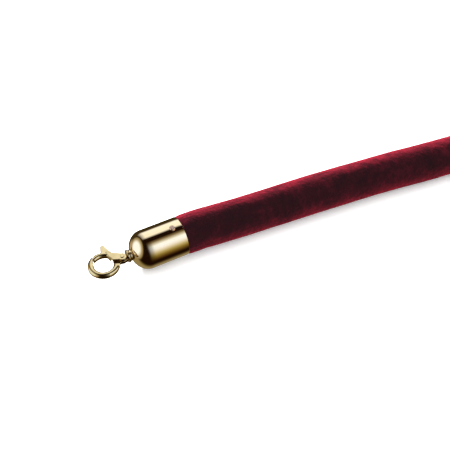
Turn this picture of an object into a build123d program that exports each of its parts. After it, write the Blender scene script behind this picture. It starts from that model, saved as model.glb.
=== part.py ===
"""Velvet barrier rope: a soft velvet rope with a domed brass cap and a swivel snap hook on each end.

The origin is the centre of the first hook's eye. +X runs along that end's cap towards the rope,
and +Z is up. The rope lies in one open fold, so both ends point the same way.
"""

import os
from math import cos, pi, radians, sin, tan

from build123d import *

# Driving dimensions, in millimetres
ROPE_R = 19.0  # over the velvet
SLEEVE_T = 2.0  # velvet with its backing
CAP_R = 19.0
CAP_WALL = 0.9
RIM_X = 78.7  # the cap's open end
DOME_X = 42.5  # where the dome meets the straight wall
DOME_LENGTH = 16.1
NOSE_X = 27.1  # the flat on the dome's nose

BUSH_R = 4.0
BUSH_COLLAR_R = 5.5
BUSH_LIP_R = 4.9
BUSH_FRONT_X = 25.3
BUSH_LIP_X = (28.0, 28.8)
BUSH_BACK_X = 30.6
STUD_R = 2.5
STUD_CLEARANCE = 0.05
WASHER_T = 1.0
WASHER_R = 5.5
NUT_GAP = 0.1
NUT_FLATS = 8.0
NUT_T = 4.0

EYE_R = 12.0  # centre line of the eye's round bar
BAR_R = 3.1
NOSE_ANGLE = 116.0  # the eye's bar runs from its nose anticlockwise to the neck
EYE_ARC = 249.0
PIVOT_X = 18.5
HUB_R = 4.2
LUG_Z = (-3.6, -0.1)
FLANGE_X = (23.0, 24.9)
FLANGE_R = 6.3

GATE_BAR_R = 2.9
GATE_HALF_HEIGHT = 3.0
GATE_ARC = (34.0, 126.0)
HUB_Z = (0.1, 3.0)
LAP_R = 10.3  # the half lap between gate and eye, about the pivot
LAP_CLEARANCE = 0.2
WEB = [(7.0, 12.2), (20.0, 3.7), (17.0, -3.0), (12.6, -1.4), (9.1, 0.2), (8.62, 2.6), (7.6, 4.83)]
WEB_END = (6.85, 5.85)
TAB_Z = (-2.3, 2.6)
TAB_ROOT = [(9.4, 15.8), (12.0, 9.0), (9.8, 7.7), (3.4, 11.9), (2.4, 13.4)]
TAB_LEFT = [(2.4, 13.4), (3.2, 17.0), (4.6, 20.4)]
TAB_CREST = (6.6, 22.0)
TAB_RIGHT = (8.3, 20.6)
TIP_R = 27.1  # the gate's tip swings on this radius about the pivot
TIP_CLEARANCE = 0.35
RIVET_R = 1.3
RIVET_CLEARANCE = 0.05
RIVET_HEAD_R = 1.8
RIVET_HEAD_T = 0.7
POCKET_R = 3.2
POCKET_DEPTH = 1.9
SPRING_R = 2.3
SPRING_WIRE_R = 0.25
SPRING_PITCH = 0.6

PLUG_FRONT_X = 44.0
TUCK_FRONT_X = 46.0
SCREW_X = 69.0
SCREW_TILT = 10.0  # from the top of the cap towards -Y, degrees
SCREW_R = 1.5
SCREW_LENGTH = 13.0
SCREW_HEAD_R = 2.8
SCREW_HEAD_T = 1.7
SCREW_HOLE_R = 1.7
SLOT_WIDTH = 0.8
SLOT_DEPTH = 0.9

# The second end is the first one moved here.
ENDS = {"a": Vector(0, 0, 0), "b": Vector(224, -294, 0)}
SLOT_ANGLE = {"a": 62.0, "b": 17.0}

# The rope's route on the floor, from one cap's rim to the other's. It leaves the first cap,
# runs on in gentle bends, turns back in one wide fold and comes home to the second cap.
ROUTE = [
    (RIM_X, 0),
    (94, 0),
    (120, -3),
    (165, -7.4),
    (226, -12),
    (292, -18.6),
    (364, -28.5),
    (442, -36.5),
    (524, -39.5),
    (603, -34),
    (677, -34.5),
    (743, -71.5),
    (778, -136),
    (774, -209),
    (733, -268),
    (669, -298.5),
    (596, -302),
    (518, -294),
    (442, -290),
    (380, -292.5),
    (336, ENDS["b"].Y),
    (RIM_X + ENDS["b"].X, ENDS["b"].Y),
]

PARTS = "parts"
os.makedirs(PARTS, exist_ok=True)


def side_plane(at):
    """The upright plane through an end's axis: local x is +X, local y is +Z."""
    return Plane(origin=at, x_dir=(1, 0, 0), z_dir=(0, -1, 0))


def cross_plane(at, x):
    """The plane square to an end's axis, x along it, facing the rope."""
    return Plane(origin=at + Vector(x, 0, 0), x_dir=(0, 1, 0), z_dir=(1, 0, 0))


def floor_plane(at, z):
    return Plane(origin=at + Vector(0, 0, z))


def screw_plane(at, height):
    """The plane square to the cap screw, height out from the cap's axis."""
    out = Vector(0, -sin(radians(SCREW_TILT)), cos(radians(SCREW_TILT)))
    return Plane(origin=at + Vector(SCREW_X, 0, 0) + out * height, x_dir=(1, 0, 0), z_dir=out)


def end_axis(at):
    return Axis(at, (1, 0, 0))


def pivot(at):
    return at + Vector(PIVOT_X, 0, 0)


def keep(builder, name):
    """Labels a finished piece and writes it."""
    builder.part.label = name
    export_step(builder.part, f"{PARTS}/{name}.step")


def make_cap(at):
    """A spun brass cap: domed nose with a flat for the bush, straight wall, open at the rope."""
    inner_r = CAP_R - CAP_WALL
    with BuildPart() as cap:
        with BuildSketch(side_plane(at)):
            with Locations((DOME_X, 0)):
                Ellipse(DOME_LENGTH, CAP_R)
                Rectangle(RIM_X - DOME_X, 2 * CAP_R, align=(Align.MIN, Align.CENTER))
                Ellipse(DOME_LENGTH - CAP_WALL, inner_r, mode=Mode.SUBTRACT)
                Rectangle(RIM_X, 2 * inner_r, align=(Align.MIN, Align.CENTER), mode=Mode.SUBTRACT)
            with Locations((NOSE_X, BUSH_R)):
                Rectangle(RIM_X, CAP_R, align=(Align.MIN, Align.MIN), mode=Mode.INTERSECT)
        revolve(axis=end_axis(at))
        fillet(cap.edges().filter_by(GeomType.CIRCLE).group_by(Axis.X)[-1], 0.3)
        with BuildSketch(screw_plane(at, CAP_R - 4)):
            Circle(SCREW_HOLE_R)
        extrude(amount=6, mode=Mode.SUBTRACT)
    return cap


def make_bush(at):
    """The brass bush that the hook turns in, pressed into the cap's nose and peened behind it."""
    rings = [
        (BUSH_FRONT_X, NOSE_X, BUSH_COLLAR_R),
        (NOSE_X, BUSH_BACK_X, BUSH_R),
        (*BUSH_LIP_X, BUSH_LIP_R),
    ]
    with BuildPart() as bush:
        for front, back, radius in rings:
            with BuildSketch(cross_plane(at, front)):
                Circle(radius)
                Circle(STUD_R + STUD_CLEARANCE, mode=Mode.SUBTRACT)
            extrude(amount=back - front)
        front_edges = bush.edges().filter_by(GeomType.CIRCLE).group_by(Axis.X)[0]
        fillet(front_edges.sort_by(SortBy.RADIUS)[-1], 0.5)
    return bush


def make_washer(at):
    with BuildPart() as washer:
        with BuildSketch(cross_plane(at, BUSH_BACK_X)):
            Circle(WASHER_R)
            Circle(STUD_R + 2 * STUD_CLEARANCE, mode=Mode.SUBTRACT)
        extrude(amount=WASHER_T)
    return washer


def make_nut(at):
    """The lock nut that holds the hook's stud inside the cap."""
    with BuildPart() as nut:
        with BuildSketch(cross_plane(at, BUSH_BACK_X + WASHER_T + NUT_GAP)):
            RegularPolygon(NUT_FLATS / 2, 6, major_radius=False)
            Circle(STUD_R, mode=Mode.SUBTRACT)
        extrude(amount=NUT_T)
    return nut


def make_hook_body(at):
    """The cast hook: open eye, neck with the gate's lug, swivel flange and stud."""
    nose = radians(NOSE_ANGLE)
    bar_plane = Plane(origin=at, x_dir=(cos(nose), sin(nose), 0), z_dir=(sin(nose), -cos(nose), 0))
    with BuildPart() as body:
        with BuildSketch(bar_plane):
            with Locations((EYE_R, 0)):
                Circle(BAR_R)
        revolve(axis=Axis(at, (0, 0, 1)), revolution_arc=EYE_ARC)
        # the nose is cut back to the arc that the gate's tip swings on
        with BuildSketch(floor_plane(pivot(at), -GATE_HALF_HEIGHT - 1)):
            Circle(TIP_R + TIP_CLEARANCE)
            with Locations((-PIVOT_X - 2, -3)):
                Rectangle(14, 20, align=(Align.MAX, Align.MIN), mode=Mode.INTERSECT)
        extrude(amount=2 * GATE_HALF_HEIGHT + 2, mode=Mode.SUBTRACT)
        # the half lap that the gate's root swings over
        with BuildSketch(floor_plane(pivot(at), LUG_Z[1])):
            Circle(LAP_R)
        extrude(amount=GATE_HALF_HEIGHT + 1, mode=Mode.SUBTRACT)
        # neck and lug under the gate's hub
        with BuildSketch(floor_plane(pivot(at), LUG_Z[0])):
            Circle(HUB_R)
            with Locations((FLANGE_X[0] - PIVOT_X, 0)):
                Rectangle(10, 2 * HUB_R - 1.2, align=(Align.MAX, Align.CENTER))
        extrude(amount=LUG_Z[1] - LUG_Z[0])
        with BuildSketch(cross_plane(at, FLANGE_X[0])):
            Circle(FLANGE_R)
        extrude(amount=FLANGE_X[1] - FLANGE_X[0])
        flange_edges = body.edges().filter_by(GeomType.CIRCLE).filter_by(
            lambda edge: abs(edge.radius - FLANGE_R) < 0.01
        )
        fillet(flange_edges, 0.5)
        with BuildSketch(cross_plane(at, FLANGE_X[1])):
            Circle(STUD_R)
        extrude(amount=BUSH_BACK_X + WASHER_T + NUT_GAP + NUT_T + 0.6 - FLANGE_X[1])
        with BuildSketch(floor_plane(pivot(at), LUG_Z[0])):
            Circle(RIVET_R)
        extrude(amount=LUG_Z[1] - LUG_Z[0], mode=Mode.SUBTRACT)
    return body


def make_gate(at):
    """The lever that closes the eye: curved arm, hub on the rivet and a thumb tab outside."""
    root = radians(GATE_ARC[0])
    arm_plane = Plane(origin=at, x_dir=(cos(root), sin(root), 0), z_dir=(sin(root), -cos(root), 0))
    with BuildPart() as gate:
        with BuildSketch(arm_plane):
            with Locations((EYE_R, 0)):
                Circle(GATE_BAR_R)
        revolve(axis=Axis(at, (0, 0, 1)), revolution_arc=GATE_ARC[1] - GATE_ARC[0])
        # web between the arm and the hub
        with BuildSketch(floor_plane(at, -GATE_HALF_HEIGHT)):
            with BuildLine():
                Polyline(*WEB, WEB_END, close=True)
            make_face()
        extrude(amount=2 * GATE_HALF_HEIGHT)
        # the tip ends on its swing radius
        with BuildSketch(floor_plane(pivot(at), -GATE_HALF_HEIGHT - 1)):
            Circle(TIP_R)
        extrude(amount=2 * GATE_HALF_HEIGHT + 2, mode=Mode.INTERSECT)
        # thumb tab
        with BuildSketch(floor_plane(at, TAB_Z[0])):
            with BuildLine():
                Polyline(*TAB_LEFT)
                ThreePointArc(TAB_LEFT[-1], TAB_CREST, TAB_RIGHT)
                Polyline(TAB_RIGHT, *TAB_ROOT)
            make_face()
        extrude(amount=TAB_Z[1] - TAB_Z[0])
        # half lap over the eye's neck
        with BuildSketch(floor_plane(pivot(at), -GATE_HALF_HEIGHT - 1)):
            Circle(LAP_R + LAP_CLEARANCE)
        extrude(amount=GATE_HALF_HEIGHT + 1 + HUB_Z[0], mode=Mode.SUBTRACT)
        with BuildSketch(floor_plane(pivot(at), HUB_Z[0])):
            Circle(HUB_R)
        extrude(amount=HUB_Z[1] - HUB_Z[0])
        # rivet hole and the spring's pocket under the hub
        with BuildSketch(floor_plane(pivot(at), HUB_Z[0])):
            Circle(RIVET_R + RIVET_CLEARANCE)
        extrude(amount=HUB_Z[1], mode=Mode.SUBTRACT)
        with BuildSketch(floor_plane(pivot(at), HUB_Z[0])):
            Circle(POCKET_R)
        extrude(amount=POCKET_DEPTH, mode=Mode.SUBTRACT)
    return gate


def make_rivet(at):
    """The gate's pin, headed over above the hub and below the lug."""
    low, high = LUG_Z[0], HUB_Z[1] + RIVET_CLEARANCE
    with BuildPart() as rivet:
        with BuildSketch(floor_plane(pivot(at), low)):
            Circle(RIVET_R)
        extrude(amount=high - low)
        for height in (low - RIVET_HEAD_T, high):
            with BuildSketch(floor_plane(pivot(at), height)):
                Circle(RIVET_HEAD_R)
            extrude(amount=RIVET_HEAD_T)
        rims = rivet.edges().filter_by(GeomType.CIRCLE).group_by(Axis.Z)
        fillet(rims[0] + rims[-1], 0.45)
    return rivet


def make_spring(at):
    """The torsion spring that shuts the gate, coiled round the rivet in the hub's pocket."""
    turns_height = POCKET_DEPTH - 4 * SPRING_WIRE_R - 0.1
    start = pivot(at) + Vector(0, 0, HUB_Z[0] + 2 * SPRING_WIRE_R)
    with BuildPart() as spring:
        with BuildLine(Plane(origin=start)) as coil:
            Helix(SPRING_PITCH, turns_height, SPRING_R)
        with BuildSketch(coil.line ^ 0):
            Circle(SPRING_WIRE_R)
        sweep(path=coil.line, is_frenet=True)
    return spring


def make_plug(at):
    """The turned plug in the rope's end, which the cap screw bites into."""
    with BuildPart() as plug:
        with BuildSketch(cross_plane(at, PLUG_FRONT_X)):
            Circle(CAP_R - CAP_WALL - SLEEVE_T)
        extrude(amount=RIM_X - PLUG_FRONT_X)
        chamfer(plug.edges().filter_by(GeomType.CIRCLE).group_by(Axis.X)[0], 2)
        with BuildSketch(screw_plane(at, CAP_R - SCREW_LENGTH)):
            Circle(SCREW_R)
        extrude(amount=SCREW_LENGTH, mode=Mode.SUBTRACT)
    return plug


def make_screw(at, slot_angle):
    """A slotted round-head screw through the cap's wall."""
    with BuildPart() as screw:
        with BuildSketch(screw_plane(at, CAP_R - SCREW_LENGTH)):
            Circle(SCREW_R)
        extrude(amount=SCREW_LENGTH)
        with BuildSketch(screw_plane(at, CAP_R)):
            Circle(SCREW_HEAD_R)
        head = extrude(amount=SCREW_HEAD_T)
        fillet(head.faces().sort_by(Axis.Z)[-1].edges(), 1.1)
        with BuildSketch(screw_plane(at, CAP_R + SCREW_HEAD_T)):
            Rectangle(3 * SCREW_HEAD_R, SLOT_WIDTH, rotation=slot_angle)
        extrude(amount=-SLOT_DEPTH, mode=Mode.SUBTRACT)
    return screw


def route_line():
    """The rope's path: straight runs joined by arcs as large as the runs allow."""
    points = [Vector(*p, 0) for p in ROUTE]
    runs = [b - a for a, b in zip(points, points[1:])]
    radii, length = [], sum(run.length for run in runs)
    for before, after in zip(runs, runs[1:]):
        turn = radians(before.get_angle(after))
        radius = 0.45 * min(before.length, after.length) / tan(turn / 2)
        radii.append(radius)
        length += radius * (turn - 2 * tan(turn / 2))
    with BuildLine() as line:
        FilletPolyline(*points, radius=radii)
    print("bend radii, mm:", [round(radius) for radius in radii])
    print(f"rope length between the caps, mm: {length:.1f}")
    return line, length


def make_sleeve(line):
    """The velvet tube, tucked into both caps round the plugs."""
    with BuildPart() as sleeve:
        with BuildSketch(line.line ^ 0):
            Circle(ROPE_R)
            Circle(ROPE_R - SLEEVE_T, mode=Mode.SUBTRACT)
        sweep(path=line.line)
        for at in ENDS.values():
            with BuildSketch(cross_plane(at, TUCK_FRONT_X)):
                Circle(CAP_R - CAP_WALL)
                Circle(CAP_R - CAP_WALL - SLEEVE_T, mode=Mode.SUBTRACT)
            extrude(amount=RIM_X - TUCK_FRONT_X)
            with BuildSketch(screw_plane(at, CAP_R - 5)):
                Circle(SCREW_HOLE_R)
            extrude(amount=6, mode=Mode.SUBTRACT)
    return sleeve


def make_core(line):
    """The rope's soft filling."""
    with BuildPart() as core:
        with BuildSketch(line.line ^ 0):
            Circle(ROPE_R - SLEEVE_T)
        sweep(path=line.line)
    return core


for end, place in ENDS.items():
    keep(make_cap(place), f"end_cap_{end}")
    keep(make_bush(place), f"swivel_bush_{end}")
    keep(make_washer(place), f"swivel_washer_{end}")
    keep(make_nut(place), f"swivel_nut_{end}")
    keep(make_hook_body(place), f"hook_body_{end}")
    keep(make_gate(place), f"hook_gate_{end}")
    keep(make_rivet(place), f"gate_rivet_{end}")
    keep(make_spring(place), f"gate_spring_{end}")
    keep(make_plug(place), f"rope_plug_{end}")
    keep(make_screw(place, SLOT_ANGLE[end]), f"cap_screw_{end}")

rope_line, rope_length = route_line()
velvet = make_sleeve(rope_line)
filling = make_core(rope_line)
straight_volume = pi * (ROPE_R - SLEEVE_T) ** 2 * rope_length
print(f"filling's volume over its section times its length: {filling.part.volume / straight_volume:.4f}")
keep(velvet, "velvet_sleeve")
keep(filling, "rope_core")
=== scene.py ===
"""Looks for the velvet barrier rope, in metres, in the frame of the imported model.

The rope's velvet is a mesh swept along the route's smooth line. The caps are lathed, the cast
hooks and gates are rounded copies of their solids, and the small parts keep their own shapes.
"""

import math

import bmesh
import bpy
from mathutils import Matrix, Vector, noise


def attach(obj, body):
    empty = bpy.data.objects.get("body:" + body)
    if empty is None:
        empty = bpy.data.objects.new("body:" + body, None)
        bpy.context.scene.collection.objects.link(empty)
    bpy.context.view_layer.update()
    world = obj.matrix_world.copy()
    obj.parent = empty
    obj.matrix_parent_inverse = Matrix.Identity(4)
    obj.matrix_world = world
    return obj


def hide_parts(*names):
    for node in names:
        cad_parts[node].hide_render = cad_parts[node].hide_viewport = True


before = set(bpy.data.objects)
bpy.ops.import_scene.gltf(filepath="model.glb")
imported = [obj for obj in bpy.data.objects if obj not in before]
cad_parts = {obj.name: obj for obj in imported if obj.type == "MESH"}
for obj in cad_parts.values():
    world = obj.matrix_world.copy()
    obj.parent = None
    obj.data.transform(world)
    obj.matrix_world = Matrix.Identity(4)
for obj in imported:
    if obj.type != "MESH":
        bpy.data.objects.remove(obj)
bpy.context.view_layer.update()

FLOOR_Z = -0.019
ROPE_R = 0.0193
CAP_R = 0.019
CAP_INNER_R = 0.0181
RIM_X = 0.0787
TUCK = 0.012
ROPE_AROUND = 96
SEAM_ANGLE = 205.0
PUCKER_BEND_R = 0.115
CAST_VOXEL = 0.00022
HOOK_SMOOTHING = 14
GATE_SMOOTHING = 26
END_B = Vector((0.224, -0.294, 0.0))
ENDS = {"a": Vector((0.0, 0.0, 0.0)), "b": END_B}

# The rope's route on the floor, from one cap's rim to the other's
ROUTE = [
    (0.0787, 0.0),
    (0.094, 0.0),
    (0.120, -0.003),
    (0.165, -0.0074),
    (0.226, -0.012),
    (0.292, -0.0186),
    (0.364, -0.0285),
    (0.442, -0.0365),
    (0.524, -0.0395),
    (0.603, -0.034),
    (0.677, -0.0345),
    (0.743, -0.0715),
    (0.778, -0.136),
    (0.774, -0.209),
    (0.733, -0.268),
    (0.669, -0.2985),
    (0.596, -0.302),
    (0.518, -0.294),
    (0.442, -0.290),
    (0.380, -0.2925),
    (0.336, -0.294),
    (0.3027, -0.294),
]


# ---------------------------------------------------------------- helpers


def link(obj):
    bpy.context.scene.collection.objects.link(obj)
    return obj


def mesh_object(name, verts, faces):
    mesh = bpy.data.meshes.new(name)
    mesh.from_pydata([tuple(v) for v in verts], [], faces)
    mesh.update()
    mesh.shade_smooth()
    return link(bpy.data.objects.new(name, mesh))


def tube_faces(rings, around):
    """Quads between rings of equal size, each ring closed."""
    faces = []
    for i in range(rings - 1):
        for j in range(around):
            k = (j + 1) % around
            faces.append((i * around + j, i * around + k, (i + 1) * around + k, (i + 1) * around + j))
    return faces


class Graph:
    """A small helper for building a node tree."""

    def __init__(self, tree):
        self.tree = tree
        tree.nodes.clear()

    def add(self, kind, settings=None, **inputs):
        node = self.tree.nodes.new(kind)
        for key, value in (settings or {}).items():
            setattr(node, key, value)
        for key, value in inputs.items():
            self.feed(node, key.replace("_", " "), value)
        return node

    def feed(self, node, key, value):
        socket = node.inputs[int(key)] if key.isdigit() else node.inputs[key]
        if isinstance(value, bpy.types.NodeSocket):
            self.tree.links.new(value, socket)
        else:
            socket.default_value = value

    def math(self, operation, *values):
        node = self.add("ShaderNodeMath", {"operation": operation})
        for i, value in enumerate(values):
            self.feed(node, str(i), value)
        return node.outputs[0]

    def ramp(self, factor, stops, interpolation="LINEAR"):
        node = self.add("ShaderNodeValToRGB", Fac=factor)
        node.color_ramp.interpolation = interpolation
        elements = node.color_ramp.elements
        while len(elements) < len(stops):
            elements.new(0.5)
        for element, (place, colour) in zip(elements, stops):
            element.position = place
            element.color = colour if len(colour) == 4 else (*colour, 1.0)
        return node.outputs["Color"]

    def noise(self, vector, scale, detail=3.0, rough=0.5):
        node = self.add("ShaderNodeTexNoise", Vector=vector, Scale=scale, Detail=detail)
        node.inputs["Roughness"].default_value = rough
        return node.outputs["Fac"]

    def stretched(self, vector, scale):
        return self.add("ShaderNodeMapping", Vector=vector, Scale=scale).outputs["Vector"]

    def bump(self, height, distance, strength, normal=None):
        node = self.add("ShaderNodeBump", Height=height, Distance=distance, Strength=strength)
        if normal is not None:
            self.feed(node, "Normal", normal)
        return node.outputs["Normal"]


def grey(value):
    return (value, value, value, 1.0)


def new_material(name):
    """A material with its graph, its shader and the place on the surface in metres."""
    material = bpy.data.materials.new(name)
    material.use_nodes = True
    graph = Graph(material.node_tree)
    shader = graph.add("ShaderNodeBsdfPrincipled")
    output = graph.add("ShaderNodeOutputMaterial")
    material.node_tree.links.new(shader.outputs["BSDF"], output.inputs["Surface"])
    place = graph.add("ShaderNodeTexCoord").outputs["Object"]
    return material, graph, shader, place


# ---------------------------------------------------------------- camera

camera_data = bpy.data.cameras.new("camera")
camera_data.lens = 64.09
camera_data.sensor_width = 36.0
camera = link(bpy.data.objects.new("camera", camera_data))
camera.location = (-0.1186, -0.4645, 0.5736)
looks_at = Vector((0.1233, -0.0053, -0.0028))
camera.rotation_euler = (looks_at - camera.location).to_track_quat("-Z", "Y").to_euler()
bpy.context.scene.camera = camera
bpy.context.scene.view_settings.view_transform = "Standard"
bpy.context.scene.view_settings.look = "None"


# ---------------------------------------------------------------- the rope


def smooth_line(points):
    """The points along the route's own NURBS spline."""
    data = bpy.data.curves.new("route", "CURVE")
    data.dimensions = "3D"
    data.resolution_u = 32
    spline = data.splines.new("NURBS")
    spline.points.add(len(points) - 1)
    for point, (x, y) in zip(spline.points, points):
        point.co = (x, y, 0.0, 1.0)
    spline.order_u = 3
    spline.use_endpoint_u = True
    spline.resolution_u = 32
    holder = link(bpy.data.objects.new("route", data))
    bpy.context.view_layer.update()
    mesh = bpy.data.meshes.new_from_object(holder)
    line = [v.co.copy() for v in mesh.vertices]
    bpy.data.objects.remove(holder)
    bpy.data.meshes.remove(mesh)
    bpy.data.curves.remove(data)
    return line


def velvet_radius(along, angle, lean, swell):
    """The rope's radius: soft lumps in the filling, puckers inside bends and one long seam."""
    ring = (math.cos(angle), math.sin(angle))
    lumps = 0.00042 * noise.noise((along * 14.0, ring[0] * 0.9, ring[1] * 0.9))
    lumps += 0.00016 * noise.noise((along * 55.0 + 7.0, ring[0] * 2.2, ring[1] * 2.2))
    inside = max(0.0, ring[0] * lean)
    wave = math.sin(along / 0.0022 + 3.0 * noise.noise((along * 40.0, ring[1] * 1.5, 3.0)))
    pucker = 0.00050 * inside * (0.5 + 0.5 * wave)
    off_seam = abs((angle - math.radians(SEAM_ANGLE) + math.pi) % (2 * math.pi) - math.pi) * ROPE_R
    seam = 0.00055 * math.exp(-((off_seam / 0.0009) ** 2))
    seam -= 0.00022 * math.exp(-(((off_seam - 0.0026) / 0.0012) ** 2))
    stitch = 0.00016 * math.sin(along / 0.00085) * math.exp(-((off_seam / 0.0016) ** 2))
    return (ROPE_R + lumps - pucker - seam + stitch) * swell


def build_rope(line):
    """The velvet tube round the line, with both ends tucked into the caps."""
    start, end = line[0], line[-1]
    into_a = [start - Vector((TUCK * k, 0, 0)) for k in (1.0, 0.6, 0.25, 0.08)]
    into_b = [end - Vector((TUCK * k, 0, 0)) for k in (0.08, 0.25, 0.6, 1.0)]
    centres = into_a + line + into_b
    total = len(centres)
    along = [0.0]
    for a, b in zip(centres, centres[1:]):
        along.append(along[-1] + (b - a).length)
    first, last = along[len(into_a)], along[total - 1 - len(into_b)]
    verts = []
    for i, centre in enumerate(centres):
        a, b = centres[max(i - 1, 0)], centres[min(i + 1, total - 1)]
        ahead = (b - a).normalized()
        side = Vector((-ahead.y, ahead.x, 0.0))
        bend = 0.0
        if 0 < i < total - 1:
            before, after = centre - a, b - centre
            span = (before.length + after.length) / 2
            turn = before.normalized().cross(after.normalized()).z
            bend = max(-1.0, min(1.0, turn / span * PUCKER_BEND_R))
        s = along[i]
        gap = min(s - first, last - s)
        swell = CAP_INNER_R / ROPE_R - 0.008
        if gap > 0:
            swell += (1.0 - swell) * (1.0 - math.exp(-gap / 0.0016))
        for j in range(ROPE_AROUND):
            angle = 2 * math.pi * j / ROPE_AROUND
            radius = velvet_radius(s, angle, bend, swell) if gap > 0 else ROPE_R * swell
            p = centre + side * (radius * math.cos(angle)) + Vector((0, 0, radius * math.sin(angle)))
            p.z = max(p.z, FLOOR_Z)
            verts.append(p)
    return mesh_object("velvet_rope", verts, tube_faces(total, ROPE_AROUND))


route_line = smooth_line(ROUTE)
rope = build_rope(route_line)
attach(rope, "root")
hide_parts("velvet_sleeve", "rope_core")


# ---------------------------------------------------------------- materials


def velvet_material():
    """Short dense pile: dark where it faces the eye, with painted sheen: a crimson base colour mixed
    in where the cloth is seen side on, added to the real sheen lobe.
    """
    material, g, shader, place = new_material("velvet_red")
    blotches = g.noise(place, 42.0, 5.0, 0.6)
    crushed = g.noise(place, 160.0, 4.0, 0.55)
    mix = g.math("ADD", g.math("MULTIPLY", blotches, 0.6), g.math("MULTIPLY", crushed, 0.4))
    deep, mid, worn = (0.0090, 0.0037, 0.0048), (0.016, 0.0037, 0.0054), (0.048, 0.0050, 0.0092)
    core = g.ramp(mix, [(0.34, deep), (0.52, mid), (0.72, worn)])
    # Painted sheen: the crimson that is mixed into the base colour towards the silhouettes, varied by
    # the random tone
    painted_sheen_colour = g.ramp(mix, [(0.38, (0.020, 0.0032, 0.0060)), (0.66, (0.095, 0.0042, 0.0100))])
    pile = g.noise(place, 2600.0, 2.0, 0.7)
    normal = g.bump(pile, 0.00030, 0.55)
    normal = g.bump(crushed, 0.0012, 0.75, normal)
    normal = g.bump(blotches, 0.0036, 0.60, normal)
    # The Layer Weight facing value masks the painted sheen: 0 where the cloth faces the eye, 1 where
    # it is seen side on
    side_on = g.add("ShaderNodeLayerWeight", Blend=0.5, Normal=normal).outputs["Facing"]
    lit = g.ramp(side_on, [(0.18, grey(0.0)), (0.55, grey(1.0))])
    # Base colour: the core tone facing the eye, blended into the painted sheen colour towards the
    # silhouettes
    tone = g.add("ShaderNodeMix", {"data_type": "RGBA"})
    g.tree.links.new(lit, tone.inputs["Factor"])
    g.tree.links.new(core, tone.inputs[6])
    g.tree.links.new(painted_sheen_colour, tone.inputs[7])
    g.feed(shader, "Base Color", tone.outputs[2])
    g.feed(shader, "Normal", normal)
    shader.inputs["Roughness"].default_value = 0.95
    shader.inputs["Specular IOR Level"].default_value = 0.06
    shader.inputs["Sheen Weight"].default_value = 1.0
    shader.inputs["Sheen Roughness"].default_value = 0.34
    shader.inputs["Sheen Tint"].default_value = (0.70, 0.03, 0.06, 1.0)
    return material


def brass_material(name, dark, light, rough, scratch):
    """Polished brass: faint cloudy tone, fine polishing lines and a clear lacquer."""
    material, g, shader, place = new_material(name)
    cloud = g.noise(place, 60.0, 4.0, 0.6)
    lines = g.noise(g.stretched(place, (900.0, 120.0, 120.0)), 1.0, 3.0, 0.6)
    g.feed(shader, "Base Color", g.ramp(cloud, [(0.35, dark), (0.65, light)]))
    g.feed(shader, "Roughness", g.ramp(lines, [(0.3, grey(rough[0])), (0.7, grey(rough[1]))]))
    g.feed(shader, "Normal", g.bump(lines, scratch, 0.25))
    shader.inputs["Metallic"].default_value = 1.0
    shader.inputs["Coat Weight"].default_value = 0.2
    shader.inputs["Coat Roughness"].default_value = 0.04
    return material


def steel_material(name, tone, rough):
    material, g, shader, place = new_material(name)
    lines = g.noise(g.stretched(place, (200.0, 1600.0, 1600.0)), 1.0, 3.0, 0.6)
    low, high = [c * 0.85 for c in tone], list(tone)
    g.feed(shader, "Base Color", g.ramp(lines, [(0.3, low), (0.7, high)]))
    g.feed(shader, "Roughness", g.ramp(lines, [(0.3, grey(rough)), (0.7, grey(rough + 0.12))]))
    g.feed(shader, "Normal", g.bump(lines, 0.00002, 0.3))
    shader.inputs["Metallic"].default_value = 1.0
    return material


def wood_material():
    """Turned beech: fine wavy rings."""
    material, g, shader, place = new_material("plug_beech")
    wave = g.add("ShaderNodeTexWave", Vector=g.stretched(place, (40.0, 420.0, 300.0)))
    wave.inputs["Scale"].default_value = 1.0
    wave.inputs["Distortion"].default_value = 6.0
    wave.inputs["Detail"].default_value = 3.0
    rings = wave.outputs["Fac"]
    g.feed(shader, "Base Color", g.ramp(rings, [(0.2, (0.34, 0.19, 0.09)), (0.9, (0.56, 0.37, 0.20))]))
    g.feed(shader, "Roughness", g.ramp(rings, [(0.0, grey(0.55)), (1.0, grey(0.75))]))
    g.feed(shader, "Normal", g.bump(rings, 0.0001, 0.3))
    return material


CAP_BRASS = brass_material(
    "cap_polished_brass", (0.81, 0.575, 0.21), (0.85, 0.605, 0.23), (0.03, 0.055), 0.000003
)
HOOK_BRASS = brass_material(
    "hook_cast_brass", (0.62, 0.42, 0.12), (0.72, 0.50, 0.16), (0.09, 0.15), 0.000008
)
SCREW_BRASS = brass_material(
    "screw_bright_brass", (0.78, 0.48, 0.21), (0.88, 0.56, 0.27), (0.16, 0.24), 0.000008
)
NUT_STEEL = steel_material("nut_zinc_steel", (0.62, 0.62, 0.64), 0.28)
SPRING_STEEL = steel_material("spring_drawn_wire", (0.52, 0.52, 0.54), 0.22)
PLUG_WOOD = wood_material()
rope.data.materials.append(velvet_material())


# ---------------------------------------------------------------- caps


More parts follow.
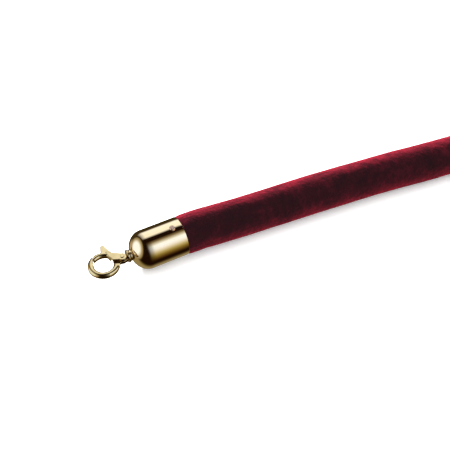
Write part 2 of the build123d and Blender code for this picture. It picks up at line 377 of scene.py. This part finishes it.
def cap_profile():
    """The cap's section as (x, radius), from the nose's hole over the dome, round the rim and back."""
    dome_x, dome_length, nose_x, wall = 0.0425, 0.0161, 0.0271, 0.0009
    points = [(nose_x, 0.0040), (nose_x, 0.0048)]
    start = math.acos((dome_x - nose_x) / dome_length)
    steps = 40
    for i in range(steps + 1):
        t = start + (math.pi / 2 - start) * i / steps
        points.append((dome_x - dome_length * math.cos(t), CAP_R * math.sin(t)))
    points += [(dome_x + (RIM_X - 0.0003 - dome_x) * k / 10, CAP_R) for k in range(1, 11)]
    for i in range(1, 5):
        t = math.pi / 2 * i / 4
        points.append((RIM_X - 0.0003 + 0.0003 * math.sin(t), CAP_R - 0.0003 + 0.0003 * math.cos(t)))
    points += [(RIM_X, CAP_INNER_R + 0.0002), (RIM_X - 0.0002, CAP_INNER_R)]
    points += [(dome_x + (RIM_X - dome_x) * k / 4, CAP_INNER_R) for k in (3, 2, 1, 0)]
    inner_length = dome_length - wall
    for i in range(1, 13):
        t = math.pi / 2 - (math.pi / 2 - start) * i / 12
        points.append((dome_x - inner_length * math.cos(t), CAP_INNER_R * math.sin(t)))
    points.append((dome_x - inner_length * math.cos(start), 0.0040))
    return points


def lathe(name, profile, at, around=180):
    """A closed ring of the profile turned about the end's axis."""
    verts = []
    for x, r in profile:
        for j in range(around):
            angle = 2 * math.pi * j / around
            verts.append(at + Vector((x, r * math.cos(angle), r * math.sin(angle))))
    faces = tube_faces(len(profile), around)
    last = (len(profile) - 1) * around
    for j in range(around):
        k = (j + 1) % around
        faces.append((last + j, last + k, k, j))
    obj = mesh_object(name, verts, faces)
    obj.data.set_sharp_from_angle(angle=math.radians(40.0))
    tidy = bmesh.new()
    tidy.from_mesh(obj.data)
    bmesh.ops.recalc_face_normals(tidy, faces=tidy.faces)
    tidy.to_mesh(obj.data)
    tidy.free()
    return obj


def rounded_copy(node, name, voxel, passes):
    """A cast piece: the node's own shape remade in small voxels, with its edges smoothed."""
    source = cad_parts[node]
    mesh = source.data.copy()
    mesh.materials.clear()
    clean = bmesh.new()
    clean.from_mesh(mesh)
    bmesh.ops.remove_doubles(clean, verts=clean.verts, dist=0.000002)
    clean.to_mesh(mesh)
    clean.free()
    piece = link(bpy.data.objects.new(name, mesh))
    remesh = piece.modifiers.new("remesh", "REMESH")
    remesh.mode = "VOXEL"
    remesh.voxel_size = voxel
    remesh.use_smooth_shade = True
    soften = piece.modifiers.new("soften", "SMOOTH")
    soften.factor = 0.5
    soften.iterations = passes
    graph = bpy.context.evaluated_depsgraph_get()
    final = bpy.data.meshes.new_from_object(piece.evaluated_get(graph))
    piece.modifiers.clear()
    piece.data = final
    final.name = name
    final.shade_smooth()
    return piece


for end, at in ENDS.items():
    cap = lathe(f"brass_cap_{end}", cap_profile(), at)
    cap.data.materials.append(CAP_BRASS)
    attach(cap, "root")
    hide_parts(f"end_cap_{end}")

    hook = rounded_copy(f"hook_body_{end}", f"cast_hook_{end}", CAST_VOXEL, HOOK_SMOOTHING)
    hook.data.materials.append(HOOK_BRASS)
    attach(hook, f"hook_{end}")
    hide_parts(f"hook_body_{end}")

    gate = rounded_copy(f"hook_gate_{end}", f"cast_gate_{end}", CAST_VOXEL, GATE_SMOOTHING)
    gate.data.materials.append(HOOK_BRASS)
    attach(gate, f"gate_{end}")
    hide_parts(f"hook_gate_{end}")

KEPT = {
    "swivel_bush": CAP_BRASS,
    "swivel_washer": NUT_STEEL,
    "swivel_nut": NUT_STEEL,
    "gate_rivet": HOOK_BRASS,
    "gate_spring": SPRING_STEEL,
    "rope_plug": PLUG_WOOD,
    "cap_screw": SCREW_BRASS,
}
for kind, material in KEPT.items():
    for end in ENDS:
        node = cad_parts[f"{kind}_{end}"]
        if not node.data.materials:
            node.data.materials.append(material)
        for slot in node.material_slots:
            slot.material = material


# ---------------------------------------------------------------- floor and light


def build_floor():
    """A wide pale floor that the rope lies on."""
    reach, steps = 14.0, 12
    verts = []
    for i in range(steps + 1):
        for j in range(steps + 1):
            verts.append((-reach + 2 * reach * i / steps, -reach + 2 * reach * j / steps, FLOOR_Z))
    faces = []
    for i in range(steps):
        for j in range(steps):
            a = i * (steps + 1) + j
            faces.append((a, a + steps + 1, a + steps + 2, a + 1))
    floor = mesh_object("studio_floor", verts, faces)
    material, g, shader, place = new_material("floor_matt_white")
    tone = g.noise(place, 3.0, 2.0)
    g.feed(shader, "Base Color", g.ramp(tone, [(0.3, grey(0.93)), (0.7, grey(0.95))]))
    shader.inputs["Roughness"].default_value = 0.9
    shader.inputs["Specular IOR Level"].default_value = 0.0
    shader.inputs["Emission Color"].default_value = grey(1.0)
    shader.inputs["Emission Strength"].default_value = 0.2
    floor.data.materials.append(material)
    floor.visible_glossy = False


def lit_direction(g, way, aim, stops):
    """Brightness that falls away round one direction."""
    dot = g.add("ShaderNodeVectorMath", {"operation": "DOT_PRODUCT"})
    g.tree.links.new(way, dot.inputs[0])
    dot.inputs[1].default_value = Vector(aim).normalized()
    return g.ramp(dot.outputs["Value"], stops)


def combined(g, kind, first, second):
    mix = g.add("ShaderNodeMix", {"data_type": "RGBA", "blend_type": kind})
    mix.inputs["Factor"].default_value = 1.0
    g.tree.links.new(first, mix.inputs[6])
    g.tree.links.new(second, mix.inputs[7])
    return mix.outputs[2]


def build_world():
    """A white room for the floor and the cloth, and a dark studio with lit panels for the metal."""
    world = bpy.data.worlds.new("studio")
    world.use_nodes = True
    bpy.context.scene.world = world
    g = Graph(world.node_tree)
    way = g.add("ShaderNodeTexCoord").outputs["Generated"]
    split = g.add("ShaderNodeSeparateXYZ", Vector=way)
    x, y, z = split.outputs[0], split.outputs[1], split.outputs[2]
    # turn: 0 and 1 look straight down, 0.25 along +Y, 0.5 straight up, 0.75 along -Y
    down = g.math("MULTIPLY", z, -1.0)
    turn = g.math("FRACT", g.math("DIVIDE", g.math("ARCTAN2", y, down), 2 * math.pi))
    black, dim = (0.003, 0.0012, 0.0004), (0.012, 0.009, 0.004)
    back_panel = g.ramp(
        turn,
        [
            (0.285, (0.0, 0.0, 0.0)),
            (0.322, (0.29, 0.35, 0.62)),
            (0.425, (0.27, 0.32, 0.55)),
            (0.458, (0.0, 0.0, 0.0)),
        ],
    )
    # across: 0 looks along -X, 0.5 square to the cap's axis, 1 along +X
    across = g.math("MULTIPLY_ADD", x, 0.5, 0.5)
    back_edge = g.ramp(across, [(0.35, grey(0.0)), (0.485, grey(0.6)), (0.60, grey(1.0))])
    front_panel = g.ramp(
        turn,
        [
            (0.515, (0.0, 0.0, 0.0)),
            (0.545, (0.052, 0.046, 0.042)),
            (0.578, (0.16, 0.187, 0.308)),
            (0.608, (0.270, 0.36, 0.75)),
            (0.640, (0.270, 0.36, 0.80)),
            (0.672, (0.249, 0.313, 0.63)),
            (0.705, (0.195, 0.222, 0.34)),
            (0.739, (0.124, 0.127, 0.103)),
            (0.775, (0.064, 0.056, 0.020)),
            (0.812, (0.026, 0.018, 0.007)),
            (0.848, (0.004, 0.002, 0.001)),
            (0.870, (0.0, 0.0, 0.0)),
        ],
    )
    front_edge = g.ramp(
        across,
        [
            (0.380, grey(0.0)),
            (0.450, grey(0.07)),
            (0.515, grey(0.25)),
            (0.602, grey(0.42)),
            (0.612, grey(1.0)),
        ],
    )
    floor_glow = g.ramp(
        turn,
        [
            (0.000, (0.076, 0.072, 0.056)),
            (0.070, (0.074, 0.070, 0.052)),
            (0.130, (0.046, 0.043, 0.032)),
            (0.165, dim),
            (0.290, dim),
            (0.320, black),
            (0.905, black),
            (0.935, (0.020, 0.016, 0.010)),
            (0.975, (0.062, 0.058, 0.046)),
            (1.000, (0.076, 0.072, 0.056)),
        ],
    )
    lamp = lit_direction(
        g,
        way,
        (-0.91, 0.25, 0.22),
        [
            (0.56, (0.0, 0.0, 0.0)),
            (0.64, (0.012, 0.008, 0.003)),
            (0.72, (0.075, 0.072, 0.070)),
            (0.80, (0.115, 0.115, 0.140)),
            (0.86, (0.195, 0.230, 0.400)),
            (0.93, (0.270, 0.360, 0.750)),
        ],
    )
    low_lamp = lit_direction(
        g,
        way,
        (-0.70, 0.62, -0.35),
        [
            (0.88, (0.0, 0.0, 0.0)),
            (0.93, (0.060, 0.055, 0.040)),
            (0.97, (0.115, 0.105, 0.100)),
        ],
    )
    lamp = combined(g, "LIGHTEN", lamp, low_lamp)
    panels = combined(g, "ADD", combined(g, "MULTIPLY", back_panel, back_edge), floor_glow)
    panels = combined(g, "ADD", combined(g, "MULTIPLY", front_panel, front_edge), panels)
    studio = g.add("ShaderNodeBackground", Color=combined(g, "LIGHTEN", panels, lamp), Strength=4.5)
    path = g.add("ShaderNodeLightPath")
    level = g.math("MULTIPLY_ADD", path.outputs["Is Camera Ray"], 0.7, 0.85)
    room = g.add("ShaderNodeBackground", Color=grey(1.0), Strength=level)
    mixed = g.add("ShaderNodeMixShader")
    g.tree.links.new(path.outputs["Is Glossy Ray"], mixed.inputs[0])
    g.tree.links.new(room.outputs[0], mixed.inputs[1])
    g.tree.links.new(studio.outputs[0], mixed.inputs[2])
    output = g.add("ShaderNodeOutputWorld")
    g.tree.links.new(mixed.outputs[0], output.inputs["Surface"])


def sun(name, toward, strength, spread):
    """A soft distant light that shines from the given direction."""
    data = bpy.data.lights.new(name, "SUN")
    data.energy = strength
    data.angle = math.radians(spread)
    lamp = link(bpy.data.objects.new(name, data))
    lamp.rotation_euler = Vector(toward).to_track_quat("Z", "Y").to_euler()
    lamp.visible_glossy = False
    return lamp


build_floor()
build_world()
sun("overhead", (0.1, 0.1, 1.0), 2.5, 120.0)
sun("low_back", (0.20, 0.95, 0.23), 17.0, 16.0)


# ---------------------------------------------------------------- update

bpy.context.view_layer.update()
